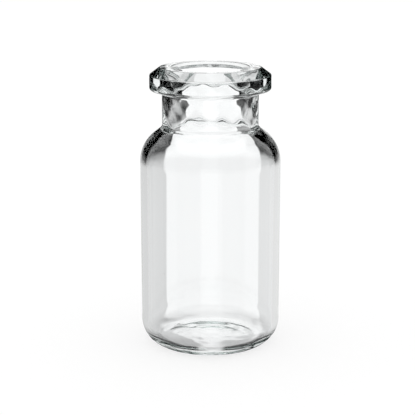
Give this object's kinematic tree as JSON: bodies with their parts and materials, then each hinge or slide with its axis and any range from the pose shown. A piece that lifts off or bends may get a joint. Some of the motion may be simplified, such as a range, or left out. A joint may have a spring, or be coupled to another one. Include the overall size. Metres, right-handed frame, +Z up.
{
  "type": "glass sample vial",
  "caption": "Clear glass headspace sample vial: straight cylindrical body, sloping shoulder, short neck and a thick crimp flange with a bevelled rim, open at the mouth.",
  "frame": {"origin": "on the vial's axis, on the plane that the base's seat ring stands on", "axes": "+Z up along the vial's axis, from the base to the mouth"},
  "size_m": [0.023, 0.023, 0.046],
  "materials": {
    "clear_glass": "smooth fire-polished clear borosilicate glass"
  },
  "bodies": {
    "root": {"vial": "clear_glass"}
  },
  "joints": []
}
